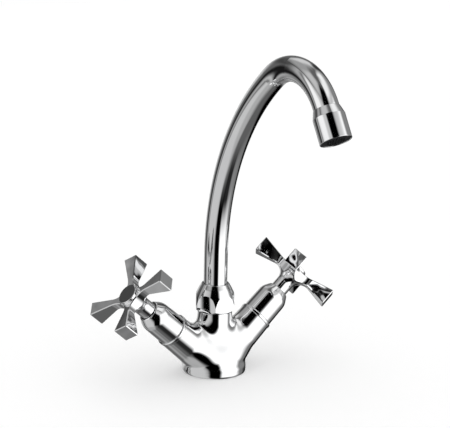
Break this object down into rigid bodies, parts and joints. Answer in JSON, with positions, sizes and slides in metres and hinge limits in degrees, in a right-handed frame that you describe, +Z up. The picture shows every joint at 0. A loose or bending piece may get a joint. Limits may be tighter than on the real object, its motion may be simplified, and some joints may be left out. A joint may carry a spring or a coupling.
{
  "type": "two-handle basin mixer faucet",
  "caption": "Chromed deck-mounted mixer faucet with a cross handle on each raised valve arm and a swivelling swan-neck spout with aerator.",
  "frame": {"origin": "centre of the round base, on the face that rests on the deck", "axes": "+Z up, spout over -Y at rest, hot handle on -X and cold handle on +X"},
  "size_m": [0.202, 0.1923, 0.2651],
  "materials": {
    "chrome": "bright chrome plate on cast brass",
    "chrome_tube": "bright chrome plate on drawn brass tube",
    "chrome_trim": "bright chrome plate on turned brass",
    "chrome_handle": "bright chrome plate on cast zinc",
    "brass": "turned brass, uncoated",
    "rubber": "black nitrile rubber",
    "acetal": "white acetal",
    "ceramic": "white alumina ceramic, lapped",
    "dark_plastic": "dark acetal moulding",
    "steel_mesh": "woven stainless steel screen",
    "steel": "stainless steel"
  },
  "bodies": {
    "root": {"body": "chrome", "base_gasket": "rubber", "spout_nut": "chrome", "left_collar_ring": "chrome_trim", "left_shroud": "chrome_trim", "left_headwork_body": "brass", "left_bonnet_gasket": "rubber", "left_lip_seal": "rubber", "left_fixed_disc": "ceramic", "right_collar_ring": "chrome_trim", "right_shroud": "chrome_trim", "right_headwork_body": "brass", "right_bonnet_gasket": "rubber", "right_lip_seal": "rubber", "right_fixed_disc": "ceramic"},
    "left_handle_body": {"left_handle": "chrome_handle", "left_index_cap": "chrome_handle", "left_handle_screw": "steel", "left_spindle": "brass", "left_spindle_orings": "rubber", "left_retaining_clip": "steel", "left_moving_disc": "ceramic"},
    "right_handle_body": {"right_handle": "chrome_handle", "right_index_cap": "chrome_handle", "right_handle_screw": "steel", "right_spindle": "brass", "right_spindle_orings": "rubber", "right_retaining_clip": "steel", "right_moving_disc": "ceramic"},
    "spout_body": {"spout_tube": "chrome_tube", "spout_spigot": "brass", "spigot_orings": "rubber", "slip_ring": "acetal", "outlet_ferrule": "brass", "aerator_housing": "chrome", "aerator_gasket": "rubber", "aerator_insert": "dark_plastic", "aerator_screens": "steel_mesh"}
  },
  "joints": [
    {"name": "left_handle_turn", "type": "hinge", "parent": "root", "child": "left_handle_body", "pos_m": [0, 0, 0.004], "axis": [-0.7501, 0, 0.6613], "range_deg": [0, 180]},
    {"name": "right_handle_turn", "type": "hinge", "parent": "root", "child": "right_handle_body", "pos_m": [0, 0, 0.004], "axis": [0.7501, 0, 0.6613], "range_deg": [0, 180]},
    {"name": "spout_swivel", "type": "hinge", "parent": "root", "child": "spout_body", "pos_m": [0, 0, 0.06], "axis": [0, 0, 1], "continuous": true}
  ]
}
